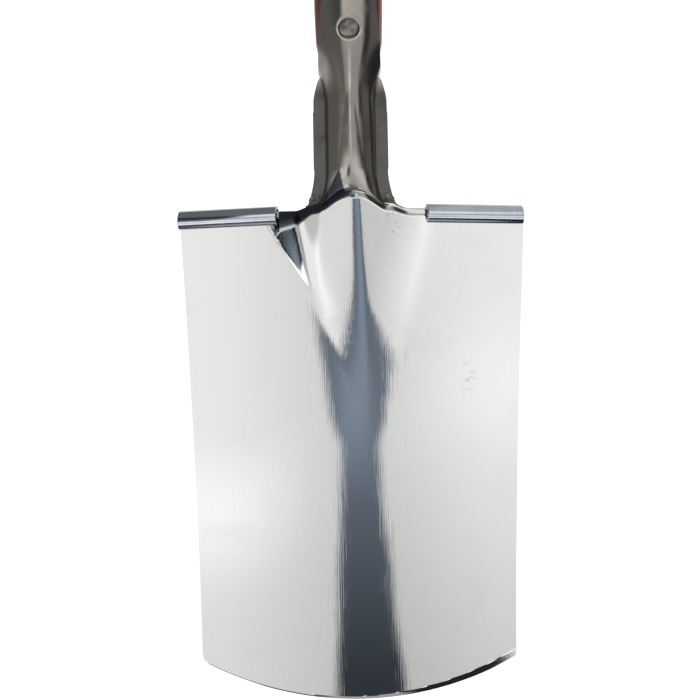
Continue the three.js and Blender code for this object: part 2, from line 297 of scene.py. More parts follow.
# the darkened colour is a painted dark reflection, standing in for what the rolled edge and the strap's foot
# would mirror
polish = {
    "clean": (0.81, 0.815, 0.8), "marked": (0.785, 0.79, 0.778), "paintedDarkReflection": (0.085, 0.09, 0.115),
    "pitsAt": (0.0230, -0.055, 0.268), "pitsSize": (0.006, 0.05, 0.009), "pit": (0.09, 0.085, 0.08),
    "smudgeAt": (0.0640, -0.05, 0.179), "smudgeSize": (0.007, 0.05, 0.013), "smudge": (0.45, 0.46, 0.46),
    "smudgeStrength": 0.22, "roughClean": 0.07, "roughMarked": 0.10, "lineRough": 0.08, "dullRough": 0.12,
}
# the darkened colour is a painted dark reflection on the strap's foot, in place of what it would mirror
mill = {
    "clean": (0.50, 0.47, 0.43), "marked": (0.42, 0.385, 0.345), "paintedDarkReflection": (0.055, 0.058, 0.075),
    "dull": (0.19, 0.185, 0.175), "dullMarked": (0.15, 0.145, 0.14), "dullFrom": (0.0131, 0.0140),
    "dullEnd": (0.016, 0.004), "dullRough": 0.3, "lineRough": 0.08, "hatch": 0.0011, "hatchDepth": 0.9,
}
ash = {"dark": (0.072, 0.010, 0.007), "light": (0.16, 0.024, 0.012), "rough": (0.38, 0.28)}
# the two pressed shells of the neck, whose steel needs some of their sizes
strap = {
    "thick": 0.002, "seam": 0.0003, "flangeHalf": 0.0206, "flangeTop": 0.058, "flangeEnd": 0.080,
    "tongueHalf": 0.0166, "tongueStraight": 0.076, "tongueTip": 0.154,
    "shellHalfLow": 0.0132, "shellDeepLow": 0.0095, "shellRadius": 0.0206, "shellRound": 0.098,
    "shellSpread": -0.030, "widestTurn": 1.52, "flangeSoft": (-0.10, 0.08), "flangeWhole": 0.003,
    "ridge": 0.0011, "ridgeBlunt": 0.0012, "ridgeFade": (0.008, 0.030), "ridgeKeep": 0.25,
    "facetFoot": 0.0078, "facetTip": 0.061, "facetPoint": 0.0006, "facetFade": (0.004, -0.010),
    "rivetHeight": 0.0958, "dimple": 0.0009, "dimpleFloor": 0.0050, "dimpleRim": 0.0070,
    "footSpread": 0.005, "footShare": 0.16, "crowd": 1.15,
    "lugFoot": -0.020, "lugTop": 0.002, "lugLength": 0.023, "lieTop": 0.268, "springs": (-0.008, 0.026),
}


def newMaterial(name, metal, rough, coat=0.0, coatRough=0.1):
    material = bpy.data.materials.new(name)
    material.use_nodes = True
    tree = material.node_tree
    shader = tree.nodes["Principled BSDF"]
    shader.inputs["Metallic"].default_value = metal
    shader.inputs["Roughness"].default_value = rough
    shader.inputs["Coat Weight"].default_value = coat
    shader.inputs["Coat Roughness"].default_value = coatRough
    place = tree.nodes.new("ShaderNodeTexCoord").outputs["Object"]
    return material, tree, shader, place


def feedBump(tree, shader, height, distance, strength=1.0):
    bump = nodeIn(tree, "ShaderNodeBump", Strength=strength, Distance=distance)
    tree.links.new(height, bump.inputs["Height"])
    tree.links.new(bump.outputs["Normal"], shader.inputs["Normal"])


def feedSteel(tree, shader, lines, mask, colours, roughness):
    # colour and roughness between clean and marked metal
    colour = blendColours(tree, mask, colours[0], colours[1])
    tree.links.new(colour, shader.inputs["Base Color"])
    level = ranged(tree, mask, 0, 1, roughness[0], roughness[1])
    uneven = calc(tree, "ADD", level, calc(tree, "MULTIPLY", lines, 0.08))
    tree.links.new(uneven, shader.inputs["Roughness"])


def spotMask(tree, place, centre, size, soft=1.0):
    # 1 inside an oval spot, 0 outside
    node = tree.nodes.new("ShaderNodeMapping")
    node.vector_type = "TEXTURE"
    node.inputs["Location"].default_value = centre
    node.inputs["Scale"].default_value = size
    tree.links.new(place, node.inputs["Vector"])
    length = tree.nodes.new("ShaderNodeVectorMath")
    length.operation = "LENGTH"
    tree.links.new(node.outputs["Vector"], length.inputs[0])
    return ranged(tree, length.outputs["Value"], 1.0, 1.0 - soft)


def makePolishedSteel():
    material, tree, shader, place = newMaterial("polishedSteel", 1, 0.08)
    lines = placeGroup(tree, fineLines, Vector=stretched(tree, place, (1, 1, 0.012)), Fineness=1300.0)
    marks = placeGroup(tree, blotches, Vector=place, Size=26.0, Low=0.5, High=0.75)
    colour = blendColours(tree, marks.outputs["Mask"], polish["clean"], polish["marked"])
    # painted dark reflection: the piece's darkened attribute tints the rolled edge near black
    paintedDarkReflection = nodeIn(tree, "ShaderNodeAttribute", attribute_name="paintedDarkReflection").outputs["Fac"]
    colour = blendColours(tree, paintedDarkReflection, colour, polish["paintedDarkReflection"])
    # a few pits beside the right shoulder and a faint smudge on the right half
    pits = ranged(tree, noiseOn(tree, place, 900, 1), 0.66, 0.70)
    pitted = spotMask(tree, place, polish["pitsAt"], polish["pitsSize"], 0.5)
    colour = blendColours(tree, calc(tree, "MULTIPLY", pits, pitted), colour, polish["pit"])
    smudge = calc(tree, "MULTIPLY", spotMask(tree, place, polish["smudgeAt"], polish["smudgeSize"], 0.8),
                 ranged(tree, noiseOn(tree, place, 260, 4), 0.48, 0.62))
    faint = calc(tree, "MULTIPLY", smudge, polish["smudgeStrength"])
    colour = blendColours(tree, faint, colour, polish["smudge"])
    tree.links.new(colour, shader.inputs["Base Color"])
    level = ranged(tree, marks.outputs["Mask"], 0, 1, polish["roughClean"], polish["roughMarked"])
    rough = calc(tree, "ADD", level, calc(tree, "MULTIPLY", lines.outputs["Lines"], polish["lineRough"]))
    dull = calc(tree, "MULTIPLY", calc(tree, "ADD", paintedDarkReflection, smudge), polish["dullRough"])
    tree.links.new(calc(tree, "ADD", rough, dull), shader.inputs["Roughness"])
    feedBump(tree, shader, lines.outputs["Lines"], 0.00003, 0.8)
    return material


def makeStrapSteel():
    # the flanges are dull, with fine hatching across them
    material, tree, shader, place = newMaterial("strapSteel", 1, 0.3)
    lines = placeGroup(tree, fineLines, Vector=stretched(tree, place, (1, 1, 0.03)), Fineness=900.0)
    marks = placeGroup(tree, blotches, Vector=place, Size=45.0, Low=0.4, High=0.72)
    parts = tree.nodes.new("ShaderNodeSeparateXYZ")
    tree.links.new(place, parts.inputs[0])
    x, z = calc(tree, "ABSOLUTE", parts.outputs[0]), parts.outputs[2]
    top = neckFoot.z + strap["flangeTop"]
    outside = ranged(tree, x, *mill["dullFrom"])
    below = ranged(tree, z, *(top + above for above in mill["dullEnd"]))
    flange = calc(tree, "MULTIPLY", outside, below)
    colour = blendColours(tree, marks.outputs["Mask"], mill["clean"], mill["marked"])
    dull = blendColours(tree, marks.outputs["Mask"], mill["dull"], mill["dullMarked"])
    # painted dark reflection: the piece's darkened attribute tints the wedge at the strap's foot near black
    paintedDarkReflection = nodeIn(tree, "ShaderNodeAttribute", attribute_name="paintedDarkReflection").outputs["Fac"]
    colour = blendColours(tree, paintedDarkReflection, blendColours(tree, flange, colour, dull), mill["paintedDarkReflection"])
    tree.links.new(colour, shader.inputs["Base Color"])
    rough = calc(tree, "ADD", ranged(tree, marks.outputs["Mask"], 0, 1, 0.16, 0.25),
                 calc(tree, "MULTIPLY", lines.outputs["Lines"], mill["lineRough"]))
    rough = calc(tree, "ADD", rough, calc(tree, "MULTIPLY", flange, mill["dullRough"]))
    tree.links.new(rough, shader.inputs["Roughness"])
    hatch = calc(tree, "SINE", calc(tree, "MULTIPLY", z, 2 * math.pi / mill["hatch"]))
    hatch = calc(tree, "MULTIPLY", calc(tree, "MULTIPLY", hatch, flange), mill["hatchDepth"])
    feedBump(tree, shader, calc(tree, "ADD", lines.outputs["Lines"], hatch), 0.00004, 0.6)
    return material


def makeWeldSteel():
    material, tree, shader, place = newMaterial("weldSteel", 1, 0.5)
    lines = placeGroup(tree, fineLines, Vector=stretched(tree, place, (0.3, 0.3, 1)), Fineness=900.0)
    marks = placeGroup(tree, blotches, Vector=place, Size=300.0, Low=0.4, High=0.65)
    feedSteel(tree, shader, lines.outputs["Lines"], marks.outputs["Mask"],
              ((0.33, 0.31, 0.28), (0.18, 0.16, 0.14)), (0.4, 0.6))
    feedBump(tree, shader, lines.outputs["Lines"], 0.0002, 0.8)
    return material


def makeZinc():
    material, tree, shader, place = newMaterial("zincPlate", 1, 0.25)
    lines = placeGroup(tree, fineLines, Vector=stretched(tree, place, (0.02, 1, 1)), Fineness=1100.0)
    marks = placeGroup(tree, blotches, Vector=place, Size=70.0, Low=0.42, High=0.7)
    feedSteel(tree, shader, lines.outputs["Lines"], marks.outputs["Mask"],
              ((0.70, 0.76, 0.82), (0.62, 0.67, 0.75)), (0.10, 0.16))
    feedBump(tree, shader, lines.outputs["Lines"], 0.00002, 0.6)
    return material


def makeRivetSteel():
    material, tree, shader, place = newMaterial("rivetSteel", 1, 0.45)
    lines = placeGroup(tree, fineLines, Vector=place, Fineness=420.0)
    marks = placeGroup(tree, blotches, Vector=place, Size=260.0, Low=0.4, High=0.68)
    feedSteel(tree, shader, lines.outputs["Lines"], marks.outputs["Mask"],
              ((0.34, 0.33, 0.29), (0.2, 0.19, 0.165)), (0.36, 0.55))
    feedBump(tree, shader, lines.outputs["Lines"], 0.0006, 0.7)
    return material


def makeLacqueredAsh(name, along):
    material, tree, shader, place = newMaterial(name, 0, 0.32, 0.7, 0.12)
    grainSpace = stretched(tree, place, along, (lean, 0, 0))
    grain = placeGroup(tree, fineLines, Vector=grainSpace, Fineness=420.0, Contrast=2.2)
    streaks = placeGroup(tree, blotches, Vector=grainSpace, Size=110.0, Low=0.36, High=0.66)
    lift = calc(tree, "ADD", calc(tree, "MULTIPLY", streaks.outputs["Mask"], 0.7),
                grain.outputs["Lines"], clip=True)
    tree.links.new(blendColours(tree, lift, ash["dark"], ash["light"]), shader.inputs["Base Color"])
    level = ranged(tree, streaks.outputs["Mask"], 0, 1, *ash["rough"])
    tree.links.new(level, shader.inputs["Roughness"])
    feedBump(tree, shader, grain.outputs["Lines"], 0.00015, 0.5)
    return material


steel = makePolishedSteel()
strapSteel = makeStrapSteel()
weldSteel = makeWeldSteel()
zinc = makeZinc()
rivetSteel = makeRivetSteel()
shaftWood = makeLacqueredAsh("lacqueredAsh", (1, 1, 0.03))
barWood = makeLacqueredAsh("lacqueredBar", (0.03, 1, 1))
print("materials made")


blade = {
    "height": 0.271, "halfTop": 0.0972, "halfFoot": 0.0885, "radius": 0.42, "edgeRadius": 0.197,
    "columns": 200, "rows": 230, "thick": 0.002, "edgeThin": 0.7,
    "bevelLeft": 0.0005, "bevelRight": 0.0050, "corner": 0.0045,
    "footRise": 0.0055, "shoulder": 0.0028, "archRise": 0.008, "archHalf": 0.019,
    "riseFrom": 0.021, "riseTo": 0.032, "shoulderFrom": 0.0405, "shoulderTo": 0.0425,
    "lipInner": 0.022, "lipOuter": 0.0435, "lipStart": 0.50, "lipTurn": 0.38,
    "lipNear": {-1: 0.0050, 1: 0.0042}, "lipFar": {-1: 0.0115, 1: 0.0034},
}
bulge = {
    "low": 0.155, "depth": 0.0145, "grow": 2.2, "tip": 0.0015, "spread": 0.049,
    "back": 0.022, "backFrom": 0.46, "crest": 0.14, "swap": 0.003,
    "soft": {-1: 0.08, 1: 0.30}, "rightLow": 0.020, "rightHigh": 0.040, "rightFrom": 0.200,
    "shift": 0.0085, "shiftBack": 0.0065,
}
dent = {"lean": 0.2, "from": (-0.047, 0.2655), "to": (-0.030, 0.2385), "fadeFrom": -0.031, "fadeTo": -0.016}


def sideOf(x):
    return 1 if x > 0 else -1


def bladeHalf(z):
    share = clamp(z / blade["height"]) ** 1.5
    return mix(blade["halfFoot"], blade["halfTop"], share)


def bladeTop(x):
    # level beside the treads, then a rise to the neck and an arch over the bulge
    shoulder = blade["shoulder"] * (1 - ease(abs(x), blade["shoulderFrom"], blade["shoulderTo"]))
    rise = blade["footRise"] - blade["shoulder"]
    shoulder += rise * (1 - ease(abs(x), blade["riseFrom"], blade["riseTo"]))
    arch = blade["archRise"] * max(0, 1 - (x / blade["archHalf"]) ** 2) ** 1.6
    return blade["height"] + shoulder + arch


def bladeFootAt(x):
    # the arc of the cutting edge, with the left corner worn round
    past = clamp((-x - blade["halfFoot"] + blade["corner"]) / blade["corner"])
    worn = blade["corner"] * (1 - math.sqrt(1 - past ** 2)) * 0.8
    return blade["edgeRadius"] - math.sqrt(blade["edgeRadius"] ** 2 - x * x) + worn


def bulgeAt(x, z):
    # a ridge with a flat side left and a softer one right, widest and deepest at the neck
    top = blade["height"] + blade["footRise"] + blade["archRise"]
    rise = clamp((z - bulge["low"]) / (top - bulge["low"]))
    shift = bulge["shift"] - bulge["shiftBack"] * rise
    side = ease(x - shift, -bulge["swap"], bulge["swap"])
    up = clamp((z - bulge["rightFrom"]) / (top - bulge["rightFrom"]))
    right = mix(bulge["rightLow"], bulge["rightHigh"], up)
    left = bulge["tip"] + bulge["spread"] * rise - bulge["back"] * max(0, rise - bulge["backFrom"])
    reach = mix(left, right, side)
    crest = bulge["crest"]
    away = (x - shift) / reach
    tent = (math.hypot(1, crest) - math.hypot(away, crest)) / (math.hypot(1, crest) - crest)
    soft = mix(bulge["soft"][-1], bulge["soft"][1], side)
    return bulge["depth"] * rise ** bulge["grow"] * (tent + math.hypot(tent, soft)) / 2


def dentAt(x, z):
    # the left shoulder leans back beyond a slanting crease
    (fromX, fromZ), (toX, toZ) = dent["from"], dent["to"]
    across, down = toX - fromX, fromZ - toZ
    beyond = ((x - fromX) * down + (z - fromZ) * across) / math.hypot(across, down)
    return dent["lean"] * max(0, beyond) * (1 - ease(x, dent["fadeFrom"], dent["fadeTo"]))


def lipCover(x, z):
    # how far up the rolled top edge a point is, from 0 at its crease to 1, and how tall the roll is there
    out = clamp((abs(x) - blade["lipInner"]) / (blade["lipOuter"] - blade["lipInner"]))
    near = mix(blade["lipNear"][-1], blade["lipNear"][1], ease(x, -0.004, 0.008))
    tall = mix(near, blade["lipFar"][sideOf(x)], out)
    return clamp((z - (bladeTop(x) - tall)) / tall), tall


def lipAt(x, z):
    over, tall = lipCover(x, z)
    share = 1 - ease(abs(x), blade["lipOuter"] - 0.002, blade["lipOuter"])
    start = blade["lipStart"]
    reached = start + blade["lipTurn"] * over
    return share * tall * (math.sqrt(1 - start ** 2) - math.sqrt(1 - reached ** 2))


def bladeDepth(x, z):
    return x * x / (2 * blade["radius"]) - bulgeAt(x, z) + lipAt(x, z) + dentAt(x, z)


def bladePoint(u, v):
    even = mix(v, 0.5 - 0.5 * math.cos(math.pi * v), 0.6)
    x = (2 * u - 1) * bladeHalf(even * blade["height"])
    z = mix(bladeFootAt(x), bladeTop(x), even)
    return Vector((x, bladeDepth(x, z), z)) + bladeOrigin


def makeBlade():
    # the sheet, with its cutting edge ground from the front
    piece = pressedSheet("bladeSheet", blade["columns"], blade["rows"], bladePoint, blade["thick"])
    for vertex in piece.data.vertices:
        x, y, z = vertex.co
        middle = bladeDepth(x, z) + bladeOrigin.y
        across = (x / blade["halfFoot"] + 1) / 2
        bevel = mix(blade["bevelLeft"], blade["bevelRight"], across ** 2)
        left = clamp((z - bladeFootAt(x)) / bevel)
        if y < middle and left < 1:
            vertex.co.y += blade["thick"] * blade["edgeThin"] * (1 - left)
    # painted dark reflection: the left of the rolled edge is tinted dark, in place of what it would mirror,
    # and the right barely
    paintedDarkReflection = piece.data.attributes.new("paintedDarkReflection", "FLOAT", "POINT")
    for vertex in piece.data.vertices:
        x, z = vertex.co.x, vertex.co.z
        cover = lipCover(x, z)[0] * (1 - ease(abs(x), blade["lipOuter"] - 0.001, blade["lipOuter"] + 0.001))
        paintedDarkReflection.data[vertex.index].value = clamp(cover * 6) * mix(1, 0.06, ease(x, -0.006, 0.010))
    smoothShade(piece, 12)
    return finishPiece(piece, "polished_steel", steel, "blade")


makeBlade()
print("blade made")


tread = {
    "inner": 0.0415, "outer": {-1: 0.098, 1: 0.0966}, "radius": 0.0055, "wall": 0.0017, "slot": 0.0036,
    "drop": 1.15, "lean": 0.28, "edge": 0.0004,
}


def makeTread(name, node, side):
    # a strip of the wall, as long as the tube, spun round its axis from one side of the slot to the other
    outer = tread["outer"][side]
    length = outer - tread["inner"]
    half = math.asin(tread["slot"] / 2 / (tread["radius"] - tread["wall"] / 2))
    deselectAll()
    bpy.ops.mesh.primitive_plane_add(size=1)
    piece = bpy.context.object
    piece.name = name
    low, high = tread["radius"] - tread["wall"], tread["radius"]
    for vertex in piece.data.vertices:
        radius = high if vertex.co.y > 0 else low
        vertex.co = Vector((length / 2 * (1 if vertex.co.x > 0 else -1), 0, -radius))
    piece.data.transform(Matrix.Rotation(half, 4, "X"))
    bpy.ops.object.mode_set(mode="EDIT")
    bpy.ops.mesh.select_all(action="SELECT")
    bpy.ops.mesh.spin(steps=40, angle=2 * math.pi - 2 * half, center=(0, 0, 0), axis=(1, 0, 0))
    bpy.ops.mesh.select_all(action="SELECT")
    bpy.ops.mesh.remove_doubles(threshold=0.00001)
    bpy.ops.mesh.normals_make_consistent(inside=False)
    bpy.ops.object.mode_set(mode="OBJECT")
    corner = math.radians(50)
    useModifier(piece, "BEVEL", width=tread["edge"], segments=3, limit_method="ANGLE", angle_limit=corner)
    for vertex in piece.data.vertices:
        vertex.co.y += tread["lean"] * vertex.co.z   # the tube is pressed on leaning back a little
    near, far = bladeDepth(tread["inner"], 0), bladeDepth(outer, 0)
    x = (tread["inner"] + outer) / 2
    depth = ((near + far) / 2 + bladeDepth(x, 0)) / 2
    sweep = Matrix.Rotation(side * math.atan2(far - near, length), 4, "Z")
    drop = Matrix.Rotation(side * math.radians(tread["drop"]), 4, "Y")
    place = Matrix.Translation(bladeOrigin + Vector((side * x, depth, blade["height"])))
    settle(piece, place @ sweep @ drop)
    smoothShade(piece, 40)
    return finishPiece(piece, "zinc_plate", zinc, node)


makeTread("treadLeft", "left_tread", -1)
makeTread("treadRight", "right_tread", 1)
print("treads made")


def shellHalf(t):
    up = ease(t, strap["flangeTop"], strap["shellRound"])
    return mix(strap["shellHalfLow"], strap["shellRadius"], up)


def shellDeep(t):
    up = ease(t, strap["shellSpread"], strap["shellRound"])
    return mix(strap["shellDeepLow"], strap["shellRadius"], up)


def strapHalf(t):
    narrowing = ease(t, strap["flangeTop"], strap["flangeEnd"])
    flange = mix(strap["flangeHalf"], strap["tongueHalf"], narrowing)
    up = max(0, (t - strap["tongueStraight"]) / (strap["tongueTip"] - strap["tongueStraight"]))
    return flange * math.sqrt(max(0.004, 1 - up * up))


def strapSection(s, t):
    # a point across the strap: round over the wood, then flat along the flange; s is 0 in the middle
    half, wide, deep = strapHalf(t), shellHalf(t), shellDeep(t)
    turn = min(math.asin(min(1, half / wide)), strap["widestTurn"])
    flange = max(0, half - wide)
    share = wide * turn / (wide * turn + flange)
    before, after = strap["flangeSoft"]
    onFlange = ease(s, share + before, share + after) * min(1, flange / strap["flangeWhole"])
    angle = turn * min(1, s / share)
    x = wide * math.sin(angle)
    if s > share:
        flat = mix(wide, half, (s - share) / max(1 - share, 1e-6))
        x = mix(x, flat, onFlange)
    y = mix(-deep * math.cos(angle), -strap["thick"] / 2 - strap["seam"] / 2, onFlange)
    return x, y


def dimpleAt(x, t):
    away = math.hypot(x, t - strap["rivetHeight"])
    return strap["dimple"] * (1 - ease(away, strap["dimpleFloor"], strap["dimpleRim"]))


def ridgeAt(x, t):
    # the raised facet, with its blunt ridge, that opens downwards from a point
    half = mix(strap["facetFoot"], strap["facetPoint"], clamp(t / strap["facetTip"]))
    blunt = strap["ridgeBlunt"]
    share = max(0, 1 - (math.hypot(x, blunt) - blunt) / half)
    share *= ease(t, *(strap["facetTip"] + past for past in strap["facetFade"]))
    height = strap["ridge"] * clamp(half / strap["facetFoot"] + strap["ridgeKeep"])
    return height * share * ease(t, *strap["ridgeFade"])


def frontStrapPoint(u, v):
    side = 2 * u - 1
    t = strap["tongueTip"] * v ** strap["crowd"]
    x, y = strapSection(abs(side), t)
    x = math.copysign(x, side)
    onNeck = neckFrame @ Vector((x, y + dimpleAt(x, t) - ridgeAt(x, t), t))
    footX = side * (strap["flangeHalf"] + strap["footSpread"])
    footZ = bladeTop(footX)
    onFold = Vector((footX, bladeDepth(footX, footZ), footZ + strap["seam"])) + bladeOrigin
    onNeck.z = max(onNeck.z, onFold.z)
    return onFold.lerp(onNeck, ease(v, 0, strap["footShare"]))


wedge = {
    "outerAt": -0.0190, "outerSlope": 0.61, "outerFoot": -0.002, "soft": 0.0006,
    "endFrom": 0.003, "endTo": 0.008,
    "base": 0.0015, "step": 0.002, "stepFrom": 0.004, "stepOver": 0.006,
    "rise": 0.018, "riseFrom": -0.001, "riseOver": 0.0058, "riseCurve": 2.5,
}


def strapPaintedReflection(x, t):
    # a painted dark reflection: a wedge on the left of the foot, round the end of the facet, tinted dark in
    # the same way
    soft = wedge["soft"]
    outer = wedge["outerAt"] + wedge["outerSlope"] * (t - wedge["outerFoot"])
    step = wedge["step"] * clamp((wedge["stepFrom"] - x) / wedge["stepOver"])
    rise = wedge["rise"] * clamp((wedge["riseFrom"] - x) / wedge["riseOver"]) ** wedge["riseCurve"]
    upper = wedge["base"] + step + rise
    inside = ease(x, outer - soft, outer + soft) * ease(t, upper + soft, upper - soft)
    return inside * (1 - ease(x, wedge["endFrom"], wedge["endTo"]))


def backStrapPoint(u, v):
    # the foot lies in the hollow behind the bulge, and the strap springs from it to the wood
    side = 2 * u - 1
    t = mix(strap["lugFoot"], strap["tongueTip"], v)
    x, y = strapSection(abs(side), t)
    lug = math.sqrt(max(0.05, 1 - max(0, (strap["lugTop"] - t) / strap["lugLength"]) ** 2))
    x = math.copysign(x, side) * lug
    onNeck = neckFrame @ Vector((x, -y - dimpleAt(x, t), t))
    z = min(onNeck.z, strap["lieTop"])
    behind = bladeDepth(x, z) + blade["thick"] + strap["seam"]
    onBlade = Vector((x, behind, onNeck.z)) + bladeOrigin
    return onBlade.lerp(onNeck, ease(t, *strap["springs"]))


def makeStrap(name, node, place):
    piece = pressedSheet(name, 96, 220, place, strap["thick"])
    if node == "front_strap":
        # painted dark reflection on the front strap's foot, stored in the darkened attribute
        paintedDarkReflection = piece.data.attributes.new("paintedDarkReflection", "FLOAT", "POINT")
        toNeck = neckFrame.inverted()
        for vertex in piece.data.vertices:
            local = toNeck @ vertex.co
            paintedDarkReflection.data[vertex.index].value = strapPaintedReflection(local.x, local.z)
    smoothShade(piece, 40)
    return finishPiece(piece, "dark_steel", strapSteel, node)


makeStrap("strapFront", "front_strap", frontStrapPoint)
makeStrap("strapBack", "back_strap", backStrapPoint)
print("straps made")


weld = {"radius": 0.001, "ripple": 0.00012, "pitch": 0.0021, "low": 0.020, "high": 0.054}


def makeNeckWeld(name, node, side):
    # a rippled bead along the flanges' edges, ground nearly flat
    length = weld["high"] - weld["low"]
    outline = [(0, -weld["radius"] * 0.8)]
    steps = 90
    for i in range(steps + 1):
        along = length * i / steps
        end = math.sqrt(clamp(min(along, length - along) / 0.0015 + 0.15))
        ripple = weld["ripple"] * abs(math.sin(math.pi * along / weld["pitch"]))
        outline.append((weld["radius"] * end + ripple, along))
    outline.append((0, length + weld["radius"] * 0.8))
    piece = turnPiece(name, outline, 24)
    squash = Matrix.Diagonal((0.6, 2.1, 1, 1))
    x = side * (strap["flangeHalf"] - 0.0003)
    settle(piece, neckFrame @ Matrix.Translation((x, 0, weld["low"])) @ squash)
    smoothShade(piece, 60)
    return finishPiece(piece, "ground_weld", weldSteel, node)


def makeFootWeld(name, node, side):
    # a small rough lump where the flange meets the blade
    low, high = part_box(node)
    middle = (low + high) / 2
    deselectAll()
    bpy.ops.mesh.primitive_uv_sphere_add(segments=40, ring_count=28, radius=1)
    piece = bpy.context.object
    piece.name = name
    for vertex in piece.data.vertices:
        rough = noise.noise(vertex.co * 2.3 + Vector((side * 5, 0, 0)))
        vertex.co *= 1 + 0.22 * rough
    size = Matrix.Diagonal((0.0032, 0.0009, 0.0016, 1))
    turn = Matrix.Rotation(side * math.radians(35), 4, "Y")
    settle(piece, Matrix.Translation(middle) @ turn @ size)
    smoothShade(piece, 60)
    return finishPiece(piece, "ground_weld", weldSteel, node)


for sideName, side in (("Left", -1), ("Right", 1)):
    makeNeckWeld("neckWeld" + sideName, "neck_weld_" + sideName.lower(), side)
    makeFootWeld("footWeld" + sideName, "foot_weld_" + sideName.lower(), side)
print("welds made")


rivet = {"shank": 0.003, "head": 0.0055, "rise": 0.0016, "hammer": 0.00012}
washer = {"radius": 0.008, "thick": 0.0012, "hole": 0.0033}


def makeRivet(name, node, reach, place):
    dome = [(1, 0), (1, 0.2), (0.97, 0.42), (0.9, 0.62), (0.78, 0.78), (0.6, 0.9), (0.4, 0.96), (0.2, 0.99)]
    dome.append((0, 1))
    top = [(rivet["head"] * r, reach + rivet["rise"] * h) for r, h in dome]
    bottom = [(r, -h) for r, h in reversed(top)]
    piece = turnPiece(name, bottom + [(rivet["shank"], -reach), (rivet["shank"], reach)] + top, 40)
    for vertex in piece.data.vertices:
        if abs(vertex.co.z) > reach + 0.2 * rivet["rise"]:
            dent = noise.noise(vertex.co * 420)
            vertex.co.z += math.copysign(rivet["hammer"], vertex.co.z) * dent
    settle(piece, place)
    smoothShade(piece, 40)
    return finishPiece(piece, "rivet_steel", rivetSteel, node)


def makeWasher(name, node, place):
    half = washer["thick"] / 2
    rim = washer["radius"]
    outline = [(washer["hole"], -half), (rim - 0.0002, -half), (rim, -half * 0.6), (rim, half * 0.1),
               (rim - 0.0003, half * 0.55), (rim - 0.001, half), (washer["hole"], half)]
    piece = turnPiece(name, outline, 56, closed=True)
    settle(piece, place)
    smoothShade(piece, 35)
    return finishPiece(piece, "zinc_plate", zinc, node)


def inNeck(x, y, t, turn=Matrix.Identity(4)):
    return neckFrame @ Matrix.Translation((x, y, t)) @ turn


quarterX = Matrix.Rotation(math.pi / 2, 4, "X")
quarterY = Matrix.Rotation(math.pi / 2, 4, "Y")
fit = {"yokeHeight": 0.692, "waist": 0.0176, "armFlat": 0.0584, "gap": 0.0003}
strapReach = strap["shellRadius"] + strap["thick"] / 2 - strap["dimple"] + 0.0002
yokeReach = fit["waist"] + washer["thick"] + 0.0012
gripReach = fit["armFlat"] + washer["thick"] + 2 * fit["gap"]
makeRivet("rivetStrap", "strap_rivet", strapReach, inNeck(0, 0, strap["rivetHeight"], quarterX))
makeRivet("rivetYoke", "yoke_rivet", yokeReach, inNeck(0, 0, fit["yokeHeight"], quarterX))
makeRivet("rivetGrip", "grip_rivet", gripReach, inNeck(0, 0, grip["height"], quarterY))
for sideName, side in (("left", -1), ("right", 1)):
    x = side * (fit["armFlat"] + fit["gap"] + washer["thick"] / 2)
    turn = Matrix.Rotation(side * math.pi / 2, 4, "Y")
    makeWasher("washerGrip_" + sideName, "grip_washer_" + sideName, inNeck(x, 0, grip["height"], turn))
for sideName, side in (("front", -1), ("back", 1)):
    y = side * (fit["waist"] + fit["gap"] + washer["thick"] / 2 + 0.0005)
    turn = Matrix.Rotation(-side * math.pi / 2, 4, "X")
    makeWasher("washerYoke_" + sideName, "yoke_washer_" + sideName, inNeck(0, y, fit["yokeHeight"], turn))
print("rivets and washers made")


wood = {"voxel": 0.0015, "smoothing": 12, "swell": 0.0005}


def makeShaft():
    # the shaft's own solid, remeshed fine and smoothed so that the arms run into it
    node = frame["nodes"]["shaft"]
    piece = node.copy()
    piece.data = node.data.copy()
    piece.name = "shaftWood"
    bpy.context.scene.collection.objects.link(piece)
    piece.parent = None
    piece.matrix_world = Matrix.Identity(4)
    focus(piece)
    bpy.ops.object.mode_set(mode="EDIT")
    bpy.ops.mesh.select_all(action="SELECT")
    bpy.ops.mesh.remove_doubles(threshold=0.00001)
    bpy.ops.object.mode_set(mode="OBJECT")
    useModifier(piece, "REMESH", mode="VOXEL", voxel_size=wood["voxel"], use_smooth_shade=True)
    useModifier(piece, "SMOOTH", factor=0.5, iterations=wood["smoothing"])
    # restores what the smoothing took, and leaves the wood 0.3 to 0.4 mm fuller than the solid
    useModifier(piece, "DISPLACE", strength=wood["swell"], mid_level=0)
    smoothShade(piece, 60)
    return finishPiece(piece, "lacquered_ash", shaftWood, "shaft")


bar = {"half": 0.0422, "corner": 0.0008, "rings": 28, "fullness": 2.6}


def makeGripBar():
    half, corner, end = bar["half"], bar["corner"], grip["endRadius"]
    outline = [(0, -half), (end - corner, -half), (end, -half + corner)]
    for i in range(1, bar["rings"]):
        along = -half + corner + (2 * half - 2 * corner) * i / bar["rings"]
        swell = 1 - (abs(along) / half) ** bar["fullness"]
        outline.append((mix(end, grip["radius"], swell), along))
    outline += [(end, half - corner), (end - corner, half), (0, half)]
    piece = turnPiece("gripBar", outline, 64)
    settle(piece, inNeck(0, 0, grip["height"], quarterY))
    smoothShade(piece, 35)
    return finishPiece(piece, "lacquered_ash", barWood, "grip_bar")


makeShaft()
makeGripBar()
print("shaft and grip made")


studio = {
    "white": 1.25, "floorGlow": 0.95, "middle": 0.79, "edge": 1.0, "lowLeft": 0.16, "lowRight": 0.30,
    "bandLeft": 0.22, "bandRight": 0.10, "table": 0.50, "sideLeft": 0.62, "sideRight": 0.03,
    "hazeLeft": 0.16, "hazeRight": 0.48, "core": 0.95, "foot": 0.45, "footDark": 0.03,
    "topLeft": 0.16, "topRight": 0.50, "deepLeft": 0.10, "deepRight": 0.02, "under": 0.40,
    "stripDistance": 0.12, "stripColour": (0.098, 0.118, 0.150),
}
